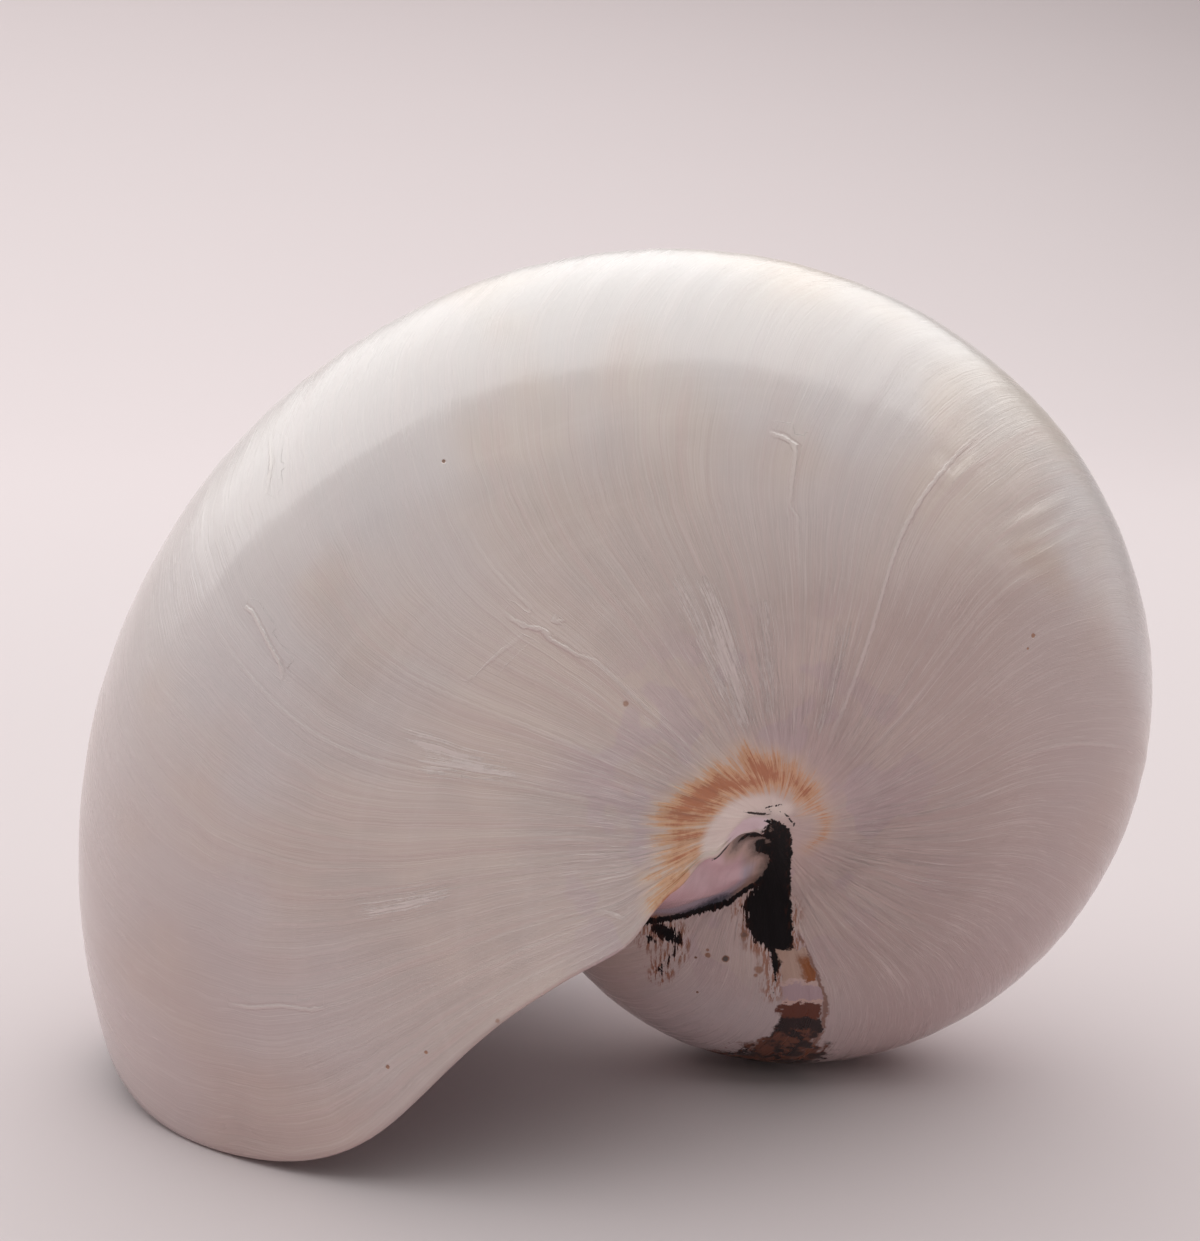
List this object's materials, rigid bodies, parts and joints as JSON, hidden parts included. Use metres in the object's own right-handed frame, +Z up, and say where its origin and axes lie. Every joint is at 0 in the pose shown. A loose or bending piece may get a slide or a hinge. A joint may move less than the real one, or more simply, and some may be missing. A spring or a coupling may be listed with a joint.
{
  "type": "nautilus shell",
  "caption": "Polished chambered nautilus shell with an open body chamber, a natural display piece that stands on its lip and coil.",
  "frame": {"origin": "middle of the bounding box at its base, on the surface the shell stands on", "axes": "+X from the lip towards the back of the coil, +Y across the shell along the coil axis, +Z up"},
  "size_m": [0.16, 0.0788, 0.1235],
  "materials": {
    "shell": "polished off-white nacre with fine growth lines, a rust stain at the umbilicus and black film in front of the lip"
  },
  "bodies": {
    "root": {"nautilus_shell": "shell"}
  },
  "joints": []
}
